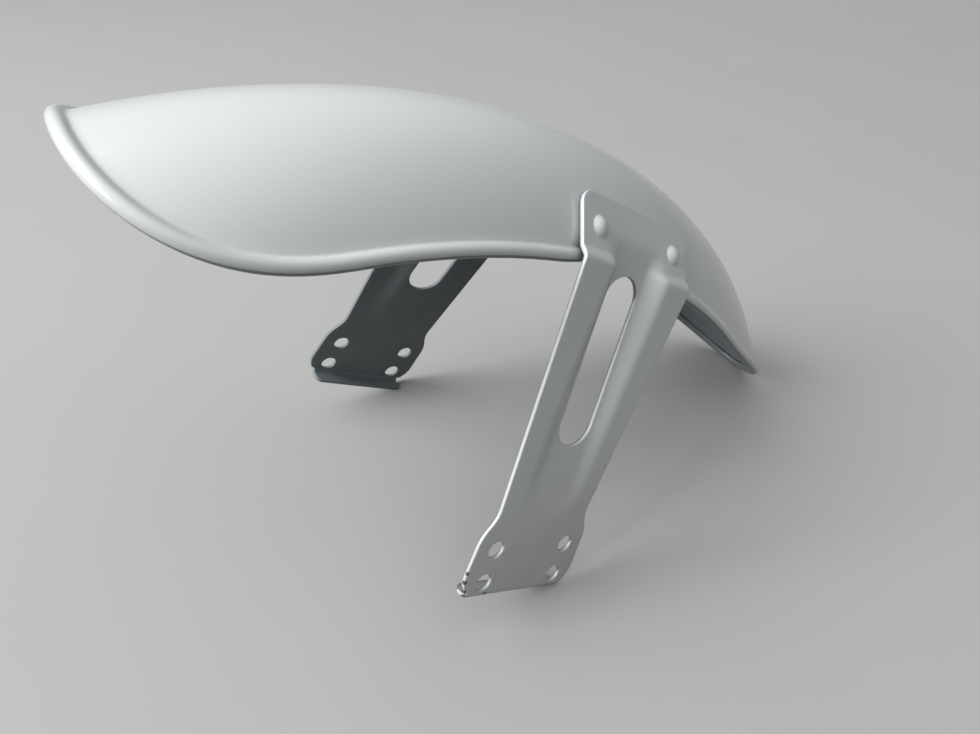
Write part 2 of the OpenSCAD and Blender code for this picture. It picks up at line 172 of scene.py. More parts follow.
class StandSizes(bpy.types.PropertyGroup):
    """How the part stands on the floor"""

    rake: angle("Rake", "Lean that brings the feet and the rear tip to the floor", 27.6583)
    back: length("Back", "Shift that centres the part along X", -0.0561509)
    lift: length("Lift", "Shift that brings the feet to the floor", 0.0296688)


class PaintLook(bpy.types.PropertyGroup):
    """Colours and gloss of the paint"""

    white: shade("White", "The gloss paint's colour", (0.78, 0.81, 0.815))
    under: shade("Under", "The slate undercoat on the wheel's side", (0.23, 0.258, 0.272))
    bare: shade("Bare Steel", "Steel where the paint is chipped", (0.09, 0.088, 0.085))
    # Low Shade is painted shade: a darker, warmer film low on the stays where they stand in shade
    low_shade: shade("Low Shade", "The thin film of painted shade low on the stays", (0.50, 0.50, 0.455))
    gloss: number("Gloss", "Roughness of the white paint", 0.22)
    satin: number("Satin", "Roughness of the undercoat", 0.55)


class StageLook(bpy.types.PropertyGroup):
    """Colours and lights of the stage"""

    floor: shade("Floor", "Colour of the floor", (0.465, 0.465, 0.452))
    bounce: shade("Bounce", "Colour of the light that the floor throws back", (0.06, 0.06, 0.058))
    low_light: number("Low Light", "Strength of the low window light", 2.1)
    top_light: number("Top Light", "Watts of the high softbox", 6.5)
    ambient: number("Ambient", "Strength of the light from all round", 0.02)
    glow: number("Glow", "Strength of the wide soft light overhead", 0.98)
    backdrop: number("Backdrop", "Level at which the camera sees the backdrop", 0.32)


class MudguardSettings(bpy.types.PropertyGroup):
    """All the sizes and looks of the mudguard"""

    blade: PointerProperty(type=BladeSizes)
    stay: PointerProperty(type=StaySizes)
    rivet: PointerProperty(type=RivetSizes)
    stand: PointerProperty(type=StandSizes)
    paint: PointerProperty(type=PaintLook)
    stage: PointerProperty(type=StageLook)


# Directions across the blade, for a surface that leans in by an angle


def outward(lean):
    return np.array([math.cos(lean), math.sin(lean)])


def upward(lean):
    return np.array([-math.sin(lean), math.cos(lean)])


# How far the relief reaches past the tab, and how far past the slot at its full depth
RELIEF_PAST_TAB = 9.5 * MM
RELIEF_PAST_SLOT = 2 * MM


class Layout:
    """Places that the blade, the stays and the rivets share, in metres, upright on the fork."""

    def __init__(self, settings):
        b, s, r = settings.blade, settings.stay, settings.rivet
        self.b, self.s, self.r = b, s, r
        self.section_y = b.half_width / math.sin(b.sweep)
        self.section_z = b.rise / (1 - math.cos(b.sweep))
        self.skirt_unit = b.sweep * math.hypot(self.section_y * math.cos(b.sweep),
                                               self.section_z * math.sin(b.sweep))
        phi = (1 - r.up / self.skirt_unit) * b.sweep
        self.pad_middle = np.array([
            self.section_y * math.sin(phi),
            b.edge_height + self.section_z * (math.cos(phi) - math.cos(b.sweep))])
        self.pad_level = float(self.pad_middle @ outward(b.pad_lean)) - b.pad_depth
        self.roll_centre = np.array([b.half_width, b.edge_height])
        foot = np.array([s.foot_span / 2, 0.0])
        reach = foot - self.roll_centre
        self.splay = (math.atan2(reach[0], -reach[1])
                      - math.asin((b.roll_radius + s.roll_gap + s.sheet) / math.hypot(*reach)))
        self.plate_origin = foot - outward(self.splay) * s.sheet / 2
        self.floor_lean = self.splay + s.trough_lean
        start = self.plate(s.trough_start)
        self.floor_line = (start[0] + start[1] * math.tan(self.floor_lean),
                           math.tan(self.floor_lean))
        self.relief_depth = (b.half_width + b.roll_radius + s.trough_gap
                             - self.floor_y(b.edge_height) + s.sheet / math.cos(self.floor_lean))
        self.relief_half = s.tab_half + RELIEF_PAST_TAB
        self.relief_full = s.slot_half + RELIEF_PAST_SLOT
        self.tab_stand = b.sheet / 2 + s.tab_gap + s.sheet / 2
        self.landing = self.tab_point(s.tab_start)
        along = (self.plate_origin - self.landing) @ outward(self.splay)
        self.shoulder = self.landing + upward(s.step_lean) * (
            along / math.sin(self.splay - s.step_lean))
        self.shoulder_start = (self.plate_height(self.shoulder)
                               - s.shoulder_radius * math.tan((s.step_lean - self.splay) / 2))

    def plate(self, up):
        return self.plate_origin + upward(self.splay) * up

    def plate_height(self, point):
        return float((point - self.plate_origin) @ upward(self.splay))

    def floor_y(self, z):
        return self.floor_line[0] - z * self.floor_line[1]

    def tab_point(self, up):
        return (self.pad_middle + upward(self.b.pad_lean) * (up - self.r.up)
                + outward(self.b.pad_lean) * (self.tab_stand - self.b.pad_depth))


def standing(settings):
    """The turn and shift from upright on the fork to standing on the floor."""
    stand = settings.stand
    return (Matrix.Translation((stand.back, 0, stand.lift))
            @ Matrix.Rotation(stand.rake, 4, "Y"))


# Sums in node trees


NUMBER = "NodeSocketFloat"
VECTOR = "NodeSocketVector"
GEOMETRY = "NodeSocketGeometry"


class Wire:
    """A value in a node tree that sums can be written with."""

    def __init__(self, tree, socket):
        self.tree, self.socket = tree, socket

    def __add__(self, other):
        return maths(self.tree, "ADD", self, other)

    def __sub__(self, other):
        return maths(self.tree, "SUBTRACT", self, other)

    def __rsub__(self, other):
        return maths(self.tree, "SUBTRACT", other, self)

    def __mul__(self, other):
        return maths(self.tree, "MULTIPLY", self, other)

    def __truediv__(self, other):
        return maths(self.tree, "DIVIDE", self, other)

    def __rtruediv__(self, other):
        return maths(self.tree, "DIVIDE", other, self)

    __radd__ = __add__
    __rmul__ = __mul__


def feed(tree, socket, value):
    if isinstance(value, Wire):
        tree.links.new(value.socket, socket)
    else:
        socket.default_value = value


def maths(tree, operation, *values, clamp=False):
    node = tree.nodes.new("ShaderNodeMath")
    node.operation = operation
    node.use_clamp = clamp
    for socket, value in zip(node.inputs, values):
        feed(tree, socket, value)
    return Wire(tree, node.outputs[0])


def arrows(tree, operation, *values):
    """Vector sums."""
    node = tree.nodes.new("ShaderNodeVectorMath")
    node.operation = operation
    for socket, value in zip(node.inputs, values):
        feed(tree, socket, value)
    return Wire(tree, node.outputs[0])


def measured(tree, operation, *values):
    """Vector sums whose result is a number."""
    node = arrows(tree, operation, *values).socket.node
    return Wire(tree, node.outputs["Value"])


def scaled(vector, factor):
    node = vector.tree.nodes.new("ShaderNodeVectorMath")
    node.operation = "SCALE"
    feed(vector.tree, node.inputs[0], vector)
    feed(vector.tree, node.inputs["Scale"], factor)
    return Wire(vector.tree, node.outputs[0])


def joined(tree, x, y, z):
    node = tree.nodes.new("ShaderNodeCombineXYZ")
    for socket, value in zip(node.inputs, (x, y, z)):
        feed(tree, socket, value)
    return Wire(tree, node.outputs[0])


def split(vector):
    node = vector.tree.nodes.new("ShaderNodeSeparateXYZ")
    feed(vector.tree, node.inputs[0], vector)
    return [Wire(vector.tree, socket) for socket in node.outputs]


def sine(value):
    return maths(value.tree, "SINE", value)


def cosine(value):
    return maths(value.tree, "COSINE", value)


def bounded(value):
    return maths(value.tree, "ADD", value, 0.0, clamp=True)


def power(value, exponent):
    return maths(value.tree, "POWER", maths(value.tree, "MAXIMUM", value, 0.0), exponent)


def eased(value):
    c = bounded(value)
    return c * c * (3.0 - 2.0 * c)


def numbers(*names):
    """Number inputs or outputs of a node group, by name."""
    return [(name, NUMBER) for name in names]


def new_tree(name, kind, inputs, outputs):
    """A node group and its inputs as wires; inputs and outputs are (name, socket type)."""
    tree = bpy.data.node_groups.new(name, kind)
    for in_out, sockets in (("INPUT", inputs), ("OUTPUT", outputs)):
        for text, socket in sockets:
            tree.interface.new_socket(name=text, in_out=in_out, socket_type=socket)
    source = tree.nodes.new("NodeGroupInput")
    return tree, {text: Wire(tree, source.outputs[text]) for text, _ in inputs}


def put_out(tree, values):
    sink = tree.nodes.new("NodeGroupOutput")
    for name, value in values.items():
        feed(tree, sink.inputs[name], value)


def place_group(tree, group, wires=(), **named):
    """Puts a group in a tree; inputs that carry a wire's name are joined to it."""
    kind = "GeometryNodeGroup" if tree.bl_idname == "GeometryNodeTree" else "ShaderNodeGroup"
    node = tree.nodes.new(kind)
    node.node_tree = group
    for socket in node.inputs:
        key = socket.name.replace(" ", "_").lower()
        if key in named:
            feed(tree, socket, named[key])
        elif socket.name in wires:
            feed(tree, socket, wires[socket.name])
    return {socket.name: Wire(tree, socket) for socket in node.outputs}


def geometry_step(tree, kind, **inputs):
    """One geometry node with its inputs by name; gives its first output."""
    node = tree.nodes.new(kind)
    for name, value in inputs.items():
        feed(tree, node.inputs[name.replace("_", " ")], value)
    return Wire(tree, node.outputs[0])


# The blade, by rule


SKIN_SIZES = ["Half Width", "Rise", "Edge Radius", "Edge Height", "Section Sweep",
              "Front Flare", "Rear Taper", "Front Dip", "Rear Dip", "Pad Lean", "Pad Level",
              "Relief Depth", "Relief Rise", "Relief Half", "Relief Full", "Skirt Unit"]
OUTLINE_SIZES = ["Front Shoulder", "Front Tip", "Front Roundness", "Rear Shoulder",
                 "Rear Tip", "Rear Roundness"]
ROLL_SIZES = ["Roll Radius", "Roll Fillet", "Roll Turn", "Roll End", "Sheet"]
GIVEN_AT = math.radians(30)  # angle from the stays at which flare, taper and dips are given
PAD_RIM = 0.15 * MM  # how softly a pad's rim turns into the skin
RELIEF_SHARE = 0.64  # of the relief's rise, where it has fallen
RELIEF_FALL_END = 24 * MM
RELIEF_FALL = 8 * MM
END_SHARE = 0.34  # of the outline's steps, in each round end
CROWN_SHARE = 0.72  # of the blade's length, in the middle line that the rows start from
SHEET_SHARE = 0.94  # of a row, before it turns out into the roll
# Rows along the blade, and steps across its sheet, its turn-out and its roll
ALONG = 190
SHEET_STEPS = 40
FILLET_STEPS = 5
ROLL_STEPS = 22
NUDGE = 0.0004
MERGE_WITHIN = 0.02 * MM


def skin_group():
    """A point of the pressed sheet from an angle about the axle and a share, 0 crown to 1 edge."""
    tree, w = new_tree("Pressed skin", "GeometryNodeTree", numbers("Angle", "Share", *SKIN_SIZES),
                       [("Point", VECTOR)])
    turn, share, sweep = w["Angle"], w["Share"], w["Section Sweep"]
    away = turn / GIVEN_AT
    away = away * away
    ahead = maths(tree, "LESS_THAN", turn, 0.0)
    behind = 1.0 - ahead
    half = w["Half Width"] + away * (ahead * w["Front Flare"] - behind * w["Rear Taper"])
    rise = w["Rise"] - away * (ahead * w["Front Dip"] + behind * w["Rear Dip"])
    phi = share * sweep
    y = half * sine(phi) / sine(sweep)
    radius = w["Edge Radius"] + rise * (cosine(phi) - cosine(sweep)) / (1.0 - cosine(sweep))
    x = radius * sine(turn)
    z = radius * cosine(turn) + w["Edge Height"] - w["Edge Radius"]
    proud = y * cosine(w["Pad Lean"]) + z * sine(w["Pad Lean"]) - w["Pad Level"]
    press = (proud + maths(tree, "SQRT", proud * proud + PAD_RIM * PAD_RIM)) * 0.5
    up = (1.0 - share) * w["Skirt Unit"]
    from_middle = maths(tree, "ABSOLUTE", x)
    near = (w["Relief Half"] - from_middle) / (w["Relief Half"] - w["Relief Full"])
    beside = eased((RELIEF_FALL_END - from_middle) / RELIEF_FALL)
    height = w["Relief Rise"] * (RELIEF_SHARE + (1.0 - RELIEF_SHARE) * beside)
    relief = w["Relief Depth"] * bounded(1.0 - up / height) * eased(near)
    put_out(tree, {"Point": joined(tree, x, y - relief - press * cosine(w["Pad Lean"]),
                                   z - press * sine(w["Pad Lean"]))})
    return tree


def outline_group():
    """Angle and share of the rolled edge, from the front tip (0) to the rear tip (1)."""
    tree, w = new_tree("Blade outline", "GeometryNodeTree", numbers("Along", *OUTLINE_SIZES),
                       numbers("Angle", "Share"))
    along = bounded(w["Along"])
    quarter = math.pi / 2
    front = bounded(along / END_SHARE) * quarter
    rear = bounded((along - (1 - END_SHARE)) / END_SHARE) * quarter
    side = bounded((along - END_SHARE) / (1 - 2 * END_SHARE))
    fore = 2.0 / w["Front Roundness"]
    aft = 2.0 / w["Rear Roundness"]
    turn = (side * (w["Front Shoulder"] + w["Rear Shoulder"]) - w["Front Shoulder"]
            - (w["Front Tip"] - w["Front Shoulder"]) * power(cosine(front), fore)
            + (w["Rear Tip"] - w["Rear Shoulder"]) * power(sine(rear), aft))
    share = power(sine(front), fore) * power(cosine(rear), aft)
    put_out(tree, {"Angle": turn, "Share": share})
    return tree


def blade_tree():
    """The blade's sheet with its rolled edge, without thickness."""
    tree, w = new_tree("Mudguard blade", "GeometryNodeTree",
                       numbers(*SKIN_SIZES, *OUTLINE_SIZES, *ROLL_SIZES)
                       + [("Material", "NodeSocketMaterial")], [("Geometry", GEOMETRY)])
    skin, outline = skin_group(), outline_group()
    first_fillet = SHEET_STEPS + 1
    first_roll = first_fillet + FILLET_STEPS
    steps = first_roll + ROLL_STEPS
    grid = geometry_step(tree, "GeometryNodeMeshGrid", Size_X=1.0, Size_Y=1.0,
                         Vertices_X=ALONG + 1, Vertices_Y=steps + 1)
    x, y, _ = split(geometry_step(tree, "GeometryNodeInputPosition"))
    along = x + 0.5
    index = (y + 0.5) * float(steps)

    def edge_at(value):
        return place_group(tree, outline, w, along=value)

    def skin_at(turn, share):
        return place_group(tree, skin, w, angle=turn, share=share)["Point"]

    rim = edge_at(along)
    turn, share = rim["Angle"], rim["Share"]
    inward = bounded(index / SHEET_STEPS) * SHEET_SHARE
    middle = (w["Rear Tip"] - w["Front Tip"]) * 0.5
    spine = middle + (turn - middle) * CROWN_SHARE
    sheet = skin_at(spine + (turn - spine) * inward, share * inward)

    # Directions square to the skin and out of the blade, from the slopes at the edge
    across = arrows(tree, "SUBTRACT", skin_at(turn, share + NUDGE), skin_at(turn, share - NUDGE))
    round_axle = arrows(tree, "SUBTRACT", skin_at(turn + NUDGE, share),
                        skin_at(turn - NUDGE, share))
    normal = arrows(tree, "NORMALIZE", arrows(tree, "CROSS_PRODUCT", round_axle, across))
    after, before = edge_at(along + NUDGE), edge_at(along - NUDGE)
    forward = arrows(tree, "SUBTRACT", skin_at(after["Angle"], after["Share"]),
                     skin_at(before["Angle"], before["Share"]))
    out = arrows(tree, "NORMALIZE", arrows(tree, "CROSS_PRODUCT", normal, forward))

    middle_radius = w["Roll Radius"] - w["Sheet"] * 0.5
    fillet = bounded((index - float(first_fillet)) / FILLET_STEPS) * w["Roll Turn"]
    start = (w["Roll Fillet"] + middle_radius) * sine(w["Roll Turn"])
    fillet_out = w["Roll Fillet"] * sine(fillet) - start
    fillet_up = w["Roll Fillet"] - w["Roll Fillet"] * cosine(fillet)
    first = w["Roll Turn"] + math.pi / 2
    curl = bounded((index - float(first_roll)) / ROLL_STEPS)
    turned = first - curl * (first + w["Roll End"])
    rolled = maths(tree, "GREATER_THAN", index, first_roll - 0.5)
    past = maths(tree, "GREATER_THAN", index, first_fillet - 0.5)
    u = rolled * middle_radius * cosine(turned) + (1.0 - rolled) * fillet_out
    n = rolled * middle_radius * sine(turned) + (1.0 - rolled) * fillet_up
    lip = arrows(tree, "ADD", skin_at(turn, share),
                 arrows(tree, "ADD", scaled(out, u), scaled(normal, n)))
    point = arrows(tree, "ADD", scaled(sheet, 1.0 - past), scaled(lip, past))

    half = geometry_step(tree, "GeometryNodeSetPosition", Geometry=grid, Position=point)
    mirrored = geometry_step(tree, "GeometryNodeTransform", Geometry=half, Scale=(1.0, -1.0, 1.0))
    flipped = geometry_step(tree, "GeometryNodeFlipFaces", Mesh=mirrored)
    both = tree.nodes.new("GeometryNodeJoinGeometry")
    for part in (flipped, half):
        feed(tree, both.inputs[0], part)
    merged = geometry_step(tree, "GeometryNodeMergeByDistance",
                           Geometry=Wire(tree, both.outputs[0]), Distance=MERGE_WITHIN)
    finish_tree(tree, merged, w["Material"])
    return tree


def finish_tree(tree, geometry, material):
    """Ends a tree with real geometry in one material."""
    real = geometry_step(tree, "GeometryNodeRealizeInstances", Geometry=geometry)
    put_out(tree, {"Geometry": geometry_step(tree, "GeometryNodeSetMaterial", Geometry=real,
                                             Material=material)})


def new_object(name, data):
    obj = bpy.data.objects.new(name, data)
    bpy.context.scene.collection.objects.link(obj)
    return obj


def evaluated_mesh(obj):
    """The plain mesh that an object's modifiers make."""
    bpy.context.view_layer.update()
    depsgraph = bpy.context.evaluated_depsgraph_get()
    return bpy.data.meshes.new_from_object(obj.evaluated_get(depsgraph), depsgraph=depsgraph)


def grown(name, tree, values):
    """The plain mesh that a geometry node tree makes with these input values."""
    mesh = bpy.data.meshes.new(name + "_seed")
    maker = new_object(name + "_seed", mesh)
    modifier = maker.modifiers.new("Rule", "NODES")
    modifier.node_group = tree
    for item in tree.interface.items_tree:
        if item.item_type == "SOCKET" and item.in_out == "INPUT":
            modifier[item.identifier] = values[item.name]
    result = evaluated_mesh(maker)
    bpy.data.objects.remove(maker)
    bpy.data.meshes.remove(mesh)
    result.name = name
    return result


def applied(obj):
    """Turns an object's live modifiers into its plain mesh."""
    old, mesh = obj.data, evaluated_mesh(obj)
    obj.modifiers.clear()
    obj.data = mesh
    bpy.data.meshes.remove(old)
    return mesh


def kept_in(mesh):
    """Brings points that stand out of the CAD box by a hair back onto it."""
    places = np.empty(len(mesh.vertices) * 3)
    mesh.vertices.foreach_get("co", places)
    mesh.vertices.foreach_set("co", np.clip(places.reshape(-1, 3), *CAD_BOX).ravel())
    mesh.update()
    return mesh


def hand_over(obj, nodes):
    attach(obj, BODY)
    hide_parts(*nodes)


def smooth(mesh, degrees):
    mesh.polygons.foreach_set("use_smooth", [True] * len(mesh.polygons))
    mesh.set_sharp_from_angle(angle=math.radians(degrees))


def thickened(obj, thickness):
    """Gives a sheet its thickness; its new side takes the second material."""
    wall = obj.modifiers.new("Sheet", "SOLIDIFY")
    wall.thickness = thickness
    wall.offset = 0.0
    wall.material_offset = 1
    wall.material_offset_rim = 1
    wall.use_even_offset = True
    wall.use_quality_normals = True


def build_blade(settings):
    layout, b = Layout(settings), settings.blade
    # The tree's inputs carry the names of the blade's own sizes
    values = {size.name: getattr(b, size.identifier) for size in b.bl_rna.properties}
    middle_radius = b.roll_radius - b.sheet / 2
    values |= {"Pad Level": layout.pad_level, "Relief Depth": layout.relief_depth,
               "Relief Half": layout.relief_half, "Relief Full": layout.relief_full,
               "Skirt Unit": layout.skirt_unit,
               "Roll Turn": math.acos(b.roll_fillet / (b.roll_fillet + middle_radius)),
               "Material": paint_material(settings)}
    mesh = grown("blade_skin", blade_tree(), values)
    mesh.transform(standing(settings))
    obj = new_object("blade_skin", mesh)
    mesh.materials.append(under_material(settings))
    thickened(obj, b.sheet)
    smooth(kept_in(applied(obj)), BLADE_SMOOTH)
    hand_over(obj, ["mudguard_blade"])


# The stays, pressed from a flat blank. Lengths along a stay run from its flange's free edge.


# Steps of the profile, and how far the leg's corners and the trough's rim are eased
BEND_STEP = math.radians(7)
STRAIGHT_STEP = 1.8 * MM
LEG_EASE = 3.5 * MM
TROUGH_EASE = 0.5 * MM
# The blank's points: steps round its corners, holes and slot ends, and along its edges
CORNER_STEPS = 8
HOLE_STEPS = 40
SLOT_END_STEPS = 26
SLOT_SIDE_STEPS = 22
EDGE_START = 1 * MM
EDGE_STEP = 1.2 * MM
BLANK_COLUMNS = np.arange(-37.8, 37.9, 1.4) * MM
BLANK_MARGIN = 0.6 * MM
# The blank is triangulated in millimetres, and points this close are one
IN_MM = 1000.0
SAME_POINT = 1e-5
SLOPE_STEP = 0.25 * MM
# The round of the sheet's cut edges, and the rows of faces across them
RIM_ROUND = 0.4 * MM
RIM_ROWS = 6
# Numbers of the two materials on a stay
WHITE, UNDER = 0, 1
# Rows of a stay's edge that the white covers, below and above the roll, and how far it
# reaches over the flange's wheel side. The mirrored stays differ as painted light and shade:
# the lit near stay has white rims and a white flange, the far stay, shaded by the blade, has
# dark rims throughout, and the near rims' dark wheel-side rows are undercoat that also thins
# the lit edge line as painted shade
NEAR_WHITE_LIT = (4, 5), 3.5 * MM
FAR_WHITE_SHADED = (0, 0), 0.0


def bend(corner, start, end, radius):
    """Points round a bend from one lean to another, whose straight sides meet at corner."""
    side = 1 if end > start else -1
    centre = corner - outward((start + end) / 2) * side * radius / math.cos((end - start) / 2)
    count = max(2, round(abs(end - start) / BEND_STEP))
    return [centre + outward(lean) * side * radius for lean in np.linspace(start, end, count + 1)]


def straight(start, end):
    count = max(1, round(math.hypot(*(end - start)) / STRAIGHT_STEP))
    return [start + (end - start) * i / count for i in range(count + 1)]


class Profile:
    """The stay's mid-sheet line from the flange to the tab, measured along its length."""

    def __init__(self, layout):
        self.layout, s = layout, layout.s
        corner = layout.plate(s.sheet / 2 - s.foot_drop)
        free = corner - outward(layout.splay) * (s.flange - s.sheet / 2)
        fold = bend(corner, layout.splay - math.pi / 2, layout.splay, s.fold_radius + s.sheet / 2)
        shoulder = bend(layout.shoulder, layout.splay, s.step_lean, s.shoulder_radius)
        land = bend(layout.landing, s.step_lean, layout.b.pad_lean, s.landing_radius)
        runs = [straight(free, fold[0]), fold, straight(fold[-1], shoulder[0]), shoulder,
                straight(shoulder[-1], land[0]), land,
                straight(land[-1], layout.tab_point(s.tab_top))]
        self.points = np.array(runs[0][:1] + [point for run in runs for point in run[1:]])
        gaps = np.hypot(*np.diff(self.points, axis=0).T)
        self.along = np.concatenate([[0.0], np.cumsum(gaps)])
        self.total = self.along[-1]
        self.fold_end = self.at_height(layout.plate_height(fold[-1]))
        self.shoulder_start = self.at_height(layout.shoulder_start)

    def at_height(self, up):
        """Length along the profile at a height on the plate."""
        heights = (self.points - self.layout.plate_origin) @ upward(self.layout.splay)
        on_plate = (heights > 0) | (self.along > self.along[np.argmin(heights)])
        return float(np.interp(up, heights[on_plate], self.along[on_plate]))

    def place(self, along):
        return np.stack([np.interp(along, self.along, self.points[:, 0]),
                         np.interp(along, self.along, self.points[:, 1])], axis=-1)


def leg_half(layout, up):
    """Half width of the plate at a height, with its corners eased."""
    s = layout.s
    heights = [-s.foot_drop, -s.chamfer_drop, s.flare_height, s.neck_height,
               layout.shoulder_start]
    halves = [s.foot_tip_half, s.foot_half, s.flare_half, s.neck_half, s.tab_half]
    samples = [np.interp(up + d, heights, halves) for d in np.linspace(-LEG_EASE, LEG_EASE, 15)]
    return float(np.mean(samples))


def corner_half(half, radius, left):
    """Half width at a distance from a strip's end whose corners are round."""
    return half - radius + math.sqrt(max(0.0, radius ** 2 - (radius - left) ** 2))


def stay_half(profile, along):
    """Half width at a length along the profile, with the round corners at both ends."""
    s, left = profile.layout.s, profile.total - along
    if along < s.flange_corner:
        return corner_half(s.foot_tip_half, s.flange_corner, along)
    if along < profile.fold_end:
        return s.foot_tip_half
    if left < s.tab_corner:
        return corner_half(s.tab_half, s.tab_corner, left)
    if along > profile.shoulder_start:
        return s.tab_half
    return leg_half(profile.layout, profile.layout.plate_height(profile.place(along)))


def dent(layout, across, point):
    """Depth of the trough at a place on the mid-sheet line."""
    s = layout.s
    over = point[..., 0] - layout.floor_y(point[..., 1])
    deep = (over + np.hypot(over, TROUGH_EASE)) / 2
    up = (point - layout.plate_origin) @ upward(layout.splay)
    below = np.maximum(0.0, s.trough_low - up)
    near = np.clip((s.trough_half - np.hypot(across, below)) / (s.trough_half - s.slot_half), 0, 1)
    return deep * near * near * (3 - 2 * near)


def arc(centre, radius, start, end, count):
    return [(centre[0] + radius * math.cos(t), centre[1] + radius * math.sin(t))
            for t in np.linspace(start, end, count, endpoint=False)]


def on_blank(profile, across, up):
    """The blank's place that lands at a height on the plate once the trough is pressed."""
    layout = profile.layout
    along = profile.at_height(up)
    for _ in range(3):
        deep = dent(layout, np.array(across), profile.place(along))
        along = profile.at_height(up - float(deep) * math.sin(layout.splay))
    return across, along


def stay_loops(profile):
    """The blank's outline, its bolt holes and its slot, in width and length along the profile."""
    layout, s = profile.layout, profile.layout.s
    ends = np.linspace(0, math.pi / 2, CORNER_STEPS + 1)
    levels = [s.flange_corner * (1 - math.cos(t)) for t in ends]
    levels += list(np.arange(s.flange_corner + EDGE_START, profile.total - s.tab_corner,
                             EDGE_STEP))
    levels += [profile.total - s.tab_corner * (1 - math.sin(t)) for t in ends]
    right = [(stay_half(profile, v), v) for v in levels]
    outline = right + [(-w, v) for w, v in reversed(right)]
    holes = [arc((x * s.hole_pitch_x / 2, profile.at_height(y * s.hole_pitch_y / 2)),
                 s.hole_d / 2, 0, 2 * math.pi, HOLE_STEPS) for x in (-1, 1) for y in (-1, 1)]
    top = layout.plate_height(np.array([layout.b.half_width, layout.b.edge_height
                                        - layout.b.roll_radius - s.slot_strip]))
    low, high = s.slot_low + s.slot_half, top - s.slot_half
    ring = []
    for side, turn, start, end in ((-1, 0, high, low), (1, math.pi, low, high)):
        ring += arc((0, start), s.slot_half, turn, turn + math.pi, SLOT_END_STEPS)
        ring += [(side * s.slot_half, up)
                 for up in np.linspace(start, end, SLOT_SIDE_STEPS, endpoint=False)]
    return outline, holes + [[on_blank(profile, across, up) for across, up in ring]]


def inside_of(points, loop):
    """Which points lie inside a closed loop."""
    inside = np.zeros(len(points), bool)
    for (x0, y0), (x1, y1) in zip(loop, loop[1:] + loop[:1]):
        if y0 != y1:
            crosses = (y0 > points[:, 1]) != (y1 > points[:, 1])
            at = x0 + (points[:, 1] - y0) * (x1 - x0) / (y1 - y0)
            inside ^= crosses & (points[:, 0] < at)
    return inside


def on_sheet(points, outline, holes):
    """Which points lie inside the outline and in none of the holes."""
    inside = inside_of(points, outline)
    for hole in holes:
        inside &= ~inside_of(points, hole)
    return inside


def apart_from(points, loop, margin):
    """Which points keep a margin from a loop's line."""
    nearest = np.full(len(points), np.inf)
    for start, end in zip(np.array(loop), np.array(loop[1:] + loop[:1])):
        run = end - start
        t = np.clip(((points - start) @ run) / (run @ run), 0, 1)
        nearest = np.minimum(nearest, np.hypot(*(points - start - t[:, None] * run).T))
    return nearest > margin


def stay_mesh(layout, painted, lip):
    """The right stay as a mesh, pressed from its flat blank."""
    profile = Profile(layout)
    outline, holes = stay_loops(profile)
    grid = np.array([(across, along) for along in profile.along for across in BLANK_COLUMNS])
    keep = on_sheet(grid, outline, holes)
    for loop in [outline] + holes:
        keep &= apart_from(grid, loop, BLANK_MARGIN)
    points = list(map(tuple, grid[keep]))
    edges = []
    for loop in [outline] + holes:
        first = len(points)
        points += loop
        edges += [(first + i, first + (i + 1) % len(loop)) for i in range(len(loop))]
    result = delaunay_2d_cdt([Vector((x * IN_MM, y * IN_MM)) for x, y in points], edges, [], 1,
                             SAME_POINT)
    flat = np.array([tuple(v) for v in result[0]]) / IN_MM
    faces = np.array(result[2])
    keep = on_sheet(flat[faces].mean(axis=1), outline, holes)
    return walled(profile, flat, faces[keep][:, ::-1], painted, lip)


def pressed(profile, flat):
    """The flat blank's points after pressing, on the middle of the sheet."""
    place = profile.place(flat[:, 1])
    deep = dent(profile.layout, flat[:, 0], place)
    return np.column_stack([flat[:, 0], place[:, 0] - deep, place[:, 1]])


def sheet_normals(profile, flat):
    """The pressed sheet's outer normals at the blank's points."""
    along = np.array([0, SLOPE_STEP])
    over = np.array([SLOPE_STEP, 0])
    rise = pressed(profile, flat + along) - pressed(profile, flat - along)
    width = pressed(profile, flat + over) - pressed(profile, flat - over)
    normal = np.cross(rise, width)
    return normal / np.linalg.norm(normal, axis=1)[:, None]


def open_edges(faces):
    """The edges with a face on one side only, each in its face's direction."""
    edges = dict.fromkeys(edge for a, b, c in faces for edge in ((a, b), (b, c), (c, a)))
    return [edge for edge in edges if (edge[1], edge[0]) not in edges]


def off_the_rim(middle, normal, rim):
    """Directions that point out of the sheet at its rim, and nowhere at its other points."""
    away = np.zeros((len(middle), 3))
    for a, b in rim:
        out = np.cross(middle[b] - middle[a], normal[a])
        out /= np.linalg.norm(out)
        away[a] += out
        away[b] += out
    size = np.linalg.norm(away, axis=1)
    away[size > 0] /= size[size > 0][:, None]
    return away


